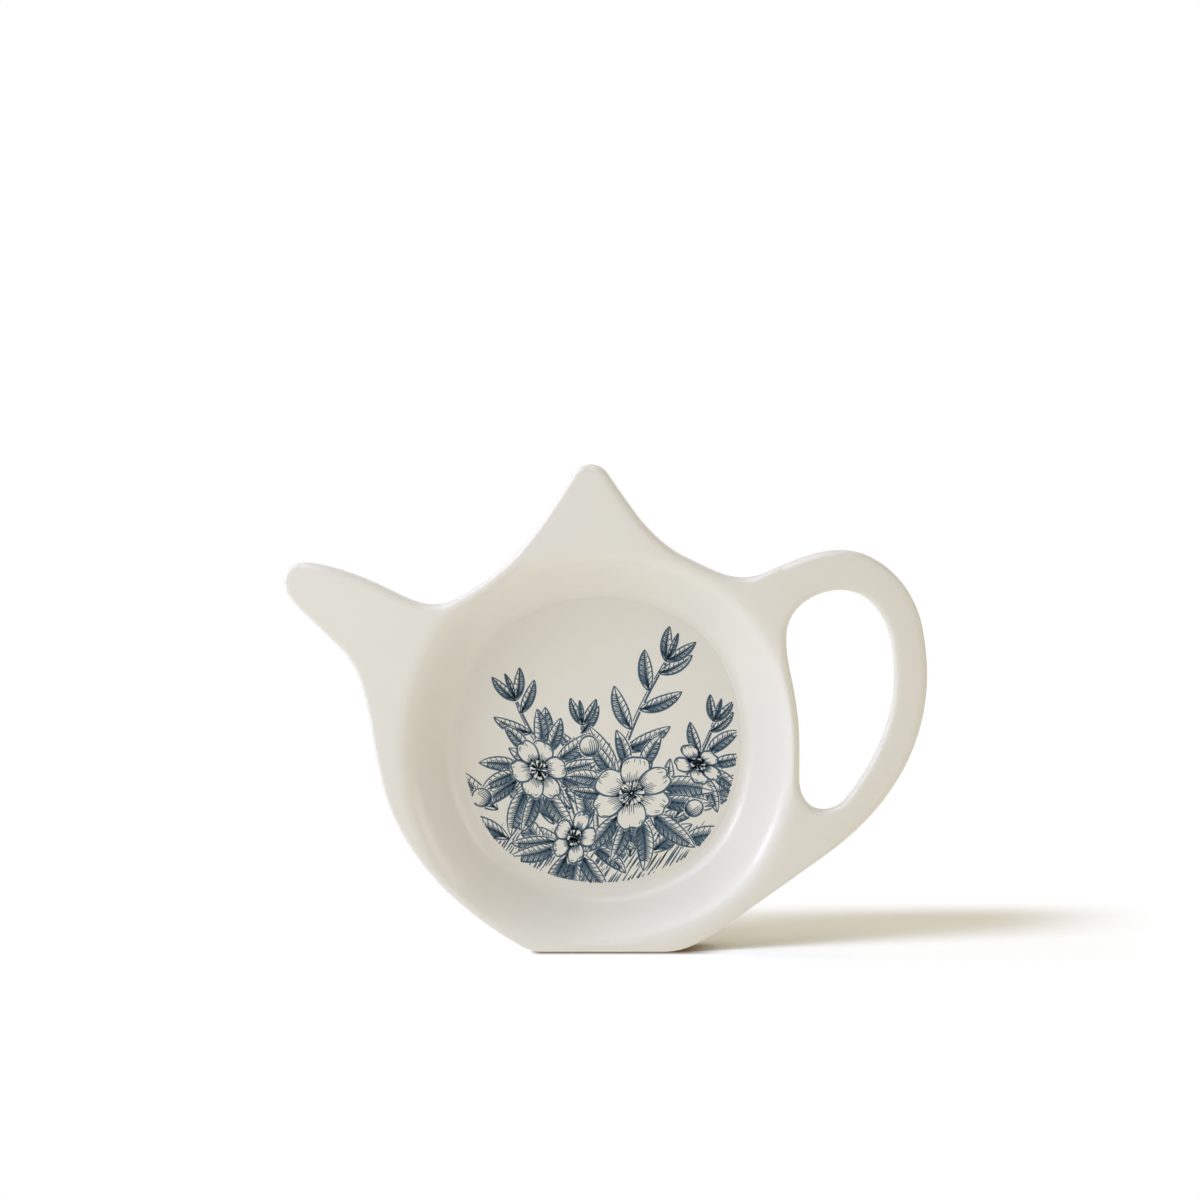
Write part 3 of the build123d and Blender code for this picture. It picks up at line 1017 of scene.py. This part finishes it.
def groundShade(drawing, draw):
    look = groundLook
    slant = radians(look["slant"])
    flow = np.linspace(0, 1, look["points"])
    line = look["line"] * np.sin(pi * (look["swellFrom"] + look["swellOver"] * flow))
    for start in np.arange(-look["reach"], look["reach"], look["pitch"]):
        for low in look["heights"]:
            length = draw.uniform(*look["length"])
            across = start + low / np.tan(slant) + draw.uniform(-look["spreadAcross"], look["spreadAcross"])
            base = complex(across, low + draw.uniform(-look["spreadUp"], look["spreadUp"]))
            points = base + length * flow * direction(slant)
            if points.imag.max() < look["top"] + look["topWave"] * np.sin(start * look["topWaving"]):
                drawing.add([(points, line, look["kept"])], None)


# what stands where, nearest first, in millimetres from the well's axis
printLayout = {
    # centre, size, turn, squash, petals
    "blossoms": [
        (8.0 - 13.0j, 10.8, 0.5, 0.86, 6),
        (-15.5 - 7.0j, 8.6, 2.2, 0.80, 6),
        (24.8 - 5.5j, 6.6, -0.5, 0.72, 5),
        (-6.5 - 24.5j, 7.2, 1.2, 0.76, 5),
    ],
    # root, heading, size
    "buds": [(-2.2 - 4.0j, 1.75, 5.2), (-27.5 - 16.0j, 2.5, 5.0), (21.5 - 18.5j, 0.6, 4.6)],
    # centre, distance from it, leaf length, first and last heading in degrees, leaves, tone
    "collars": [
        (8.0 - 13.0j, 6.5, 13.5, -130, 20, 6, 1.0),
        (-15.5 - 7.0j, 5.0, 12.0, 150, 300, 6, 1.0),
        (24.8 - 5.5j, 3.5, 9.5, -120, 60, 5, 0.9),
        (-6.5 - 24.5j, 4.5, 12.0, -190, 10, 7, 1.05),
        (8.0 - 13.0j, 6.5, 11.0, 60, 200, 5, 0.85),
        (-15.5 - 7.0j, 5.0, 10.0, -40, 130, 6, 0.8),
    ],
    # height, leaves, half width, leaf length, tone
    "rows": [(-30.0, 7, 25.0, 14.0, 0.95), (-22.0, 8, 29.0, 14.0, 0.8)],
    # the stem's knots, leaves, longest and shortest leaf, tone
    "sprays": [
        ((3 - 22j, 3 - 4j, 10 + 10j, 17 + 21.5j), 7, 15.5, 9.0, 0.75),
        ((-6 - 24j, -8 - 8j, -17 - 2j, -21.5 + 11.5j), 6, 14.5, 8.5, 0.75),
        ((-1 - 24j, -1 - 10j, -5 - 3j, -4.5 + 5j), 4, 13.0, 7.5, 0.65),
        ((9 - 24j, 18 - 16j, 26 - 4j, 29 + 6j), 5, 12.5, 7.0, 0.7),
    ],
}


def drawPrint():
    draw = Random(inkLook["seed"])
    limit = wellOutline(foilLook["halfWidth"] - inkLook["margin"], foilLook["arcSteps"])
    drawing = Drawing(limit * millimetres)
    makers = {"blossoms": blossom, "buds": bud, "collars": collar, "rows": leafRow, "sprays": spray}
    for kind, maker in makers.items():
        for values in printLayout[kind]:
            maker(drawing, draw, *values)
    groundShade(drawing, draw)
    return drawing


def inkTree(material):
    tree = bpy.data.node_groups.new("inkLines", "GeometryNodeTree")
    sockets = {}
    for name, kind in (("Geometry", "NodeSocketGeometry"), ("Line width", "NodeSocketFloat"),
                       ("Dot sides", "NodeSocketInt"), ("Place", "NodeSocketVector")):
        sockets[name] = tree.interface.new_socket(name, in_out="INPUT", socket_type=kind).identifier
    tree.interface.new_socket("Geometry", in_out="OUTPUT", socket_type="NodeSocketGeometry")
    nodes = NodeSet(tree)
    inputs = {name: nodes.add("NodeGroupInput", {}, {}, name) for name in sockets}
    attribute = "GeometryNodeInputNamedAttribute"
    half = nodes.add(attribute, {"data_type": "FLOAT"}, {"Name": "halfWidth"})
    isDot = nodes.add(attribute, {"data_type": "BOOLEAN"}, {"Name": "isDot"})
    paths = nodes.add("GeometryNodeMeshToCurve", {}, {"Mesh": inputs["Geometry"]})
    flatPaths = nodes.add("GeometryNodeSetCurveNormal", {"mode": "Z_UP"}, {"Curve": paths})
    pen = nodes.add("GeometryNodeCurvePrimitiveLine", {}, {"Start": (-1, 0, 0), "End": (1, 0, 0)})
    swept = {"Curve": flatPaths, "Profile Curve": pen, "Scale": half * inputs["Line width"]}
    ribbons = nodes.add("GeometryNodeCurveToMesh", {}, swept)
    facing = nodes.add("GeometryNodeInputNormal", {}, {})
    away = nodes.math("LESS_THAN", nodes.add("ShaderNodeSeparateXYZ", {}, {"Vector": facing}, "Z"), 0.0)
    lines = nodes.add("GeometryNodeFlipFaces", {}, {"Mesh": ribbons, "Selection": away})
    spots = nodes.add("GeometryNodeMeshToPoints", {}, {"Mesh": inputs["Geometry"], "Selection": isDot})
    ring = {"Vertices": inputs["Dot sides"], "Radius": 1.0}
    disc = nodes.add("GeometryNodeMeshCircle", {"fill_type": "NGON"}, ring)
    dotted = {"Points": spots, "Instance": disc, "Scale": half}
    dots = nodes.add("GeometryNodeInstanceOnPoints", {}, dotted)
    joined = nodes.add("GeometryNodeJoinGeometry", {}, {"Geometry": [lines, dots]})
    upright = {"Geometry": joined, "Translation": inputs["Place"], "Rotation": (pi / 2, 0, 0)}
    placed = nodes.add("GeometryNodeTransform", {}, upright)
    realised = nodes.add("GeometryNodeRealizeInstances", {}, {"Geometry": placed})
    inked = nodes.add("GeometryNodeSetMaterial", {}, {"Geometry": realised, "Material": material})
    nodes.add("NodeGroupOutput", {}, {0: inked})
    return tree, sockets


def inkMaterial():
    material = bpy.data.materials.new("navyInk")
    nodes = shaderNodes(material)
    place = nodes.add("ShaderNodeTexCoord", {}, {}, "Object")
    patches = nodes.noise(place, inkLook["patches"], inkLook["patchDetail"])
    body = nodes.add("ShaderNodeBsdfPrincipled", {}, {
        "Base Color": nodes.mixColours(patches, inkLook["darkColour"], inkLook["paleColour"]),
        "Roughness": inkLook["roughness"] + (patches - noiseMiddle) * inkLook["roughnessSpread"],
    })
    nodes.add("ShaderNodeOutputMaterial", {}, {"Surface": body})
    return material


def addPrint(material):
    drawing = drawPrint()
    points = []
    widths = []
    edges = []
    for path, half in drawing.strokes:
        edges.extend((len(points) + k, len(points) + k + 1) for k in range(len(path) - 1))
        points.extend((p.real / millimetres, p.imag / millimetres, 0) for p in path)
        widths.extend(half / millimetres)
    dotStart = len(points)
    points.extend((p.real / millimetres, p.imag / millimetres, 0) for p, size in drawing.dots)
    widths.extend(size / millimetres for p, size in drawing.dots)
    areDots = [k >= dotStart for k in range(len(points))]
    paths = bpy.data.meshes.new("printPaths")
    paths.from_pydata(points, edges, [])
    paths.attributes.new("halfWidth", "FLOAT", "POINT").data.foreach_set("value", widths)
    paths.attributes.new("isDot", "BOOLEAN", "POINT").data.foreach_set("value", areDots)
    host = newPiece("printPaths", paths)
    tree, sockets = inkTree(material)
    modifier = host.modifiers.new("inkLines", "NODES")
    modifier.node_group = tree
    modifier[sockets["Line width"]] = inkLook["lineWidth"]
    modifier[sockets["Dot sides"]] = inkLook["dotSides"]
    modifier[sockets["Place"]] = (0.0, foilLook["front"] - inkLook["proud"], foilLook["axisHeight"])
    host.update_tag()
    baked = bakedMesh(host)
    piece = newPiece("print", baked)
    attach(piece, "root")
    counts = (len(drawing.strokes), "strokes,", len(drawing.dots), "dots,", len(baked.polygons), "faces")
    print("print:", *counts)
    return piece


addCamera()
dish = addDish(melamineMaterial("melamine", melamineLook))
foil = addFoil(melamineMaterial("foilResin", melamineLook))
ink = addPrint(inkMaterial())
addStudio({"dish": [dish, foil, ink], "table": [addFloor()]})
bpy.context.scene.view_settings.view_transform = "Standard"
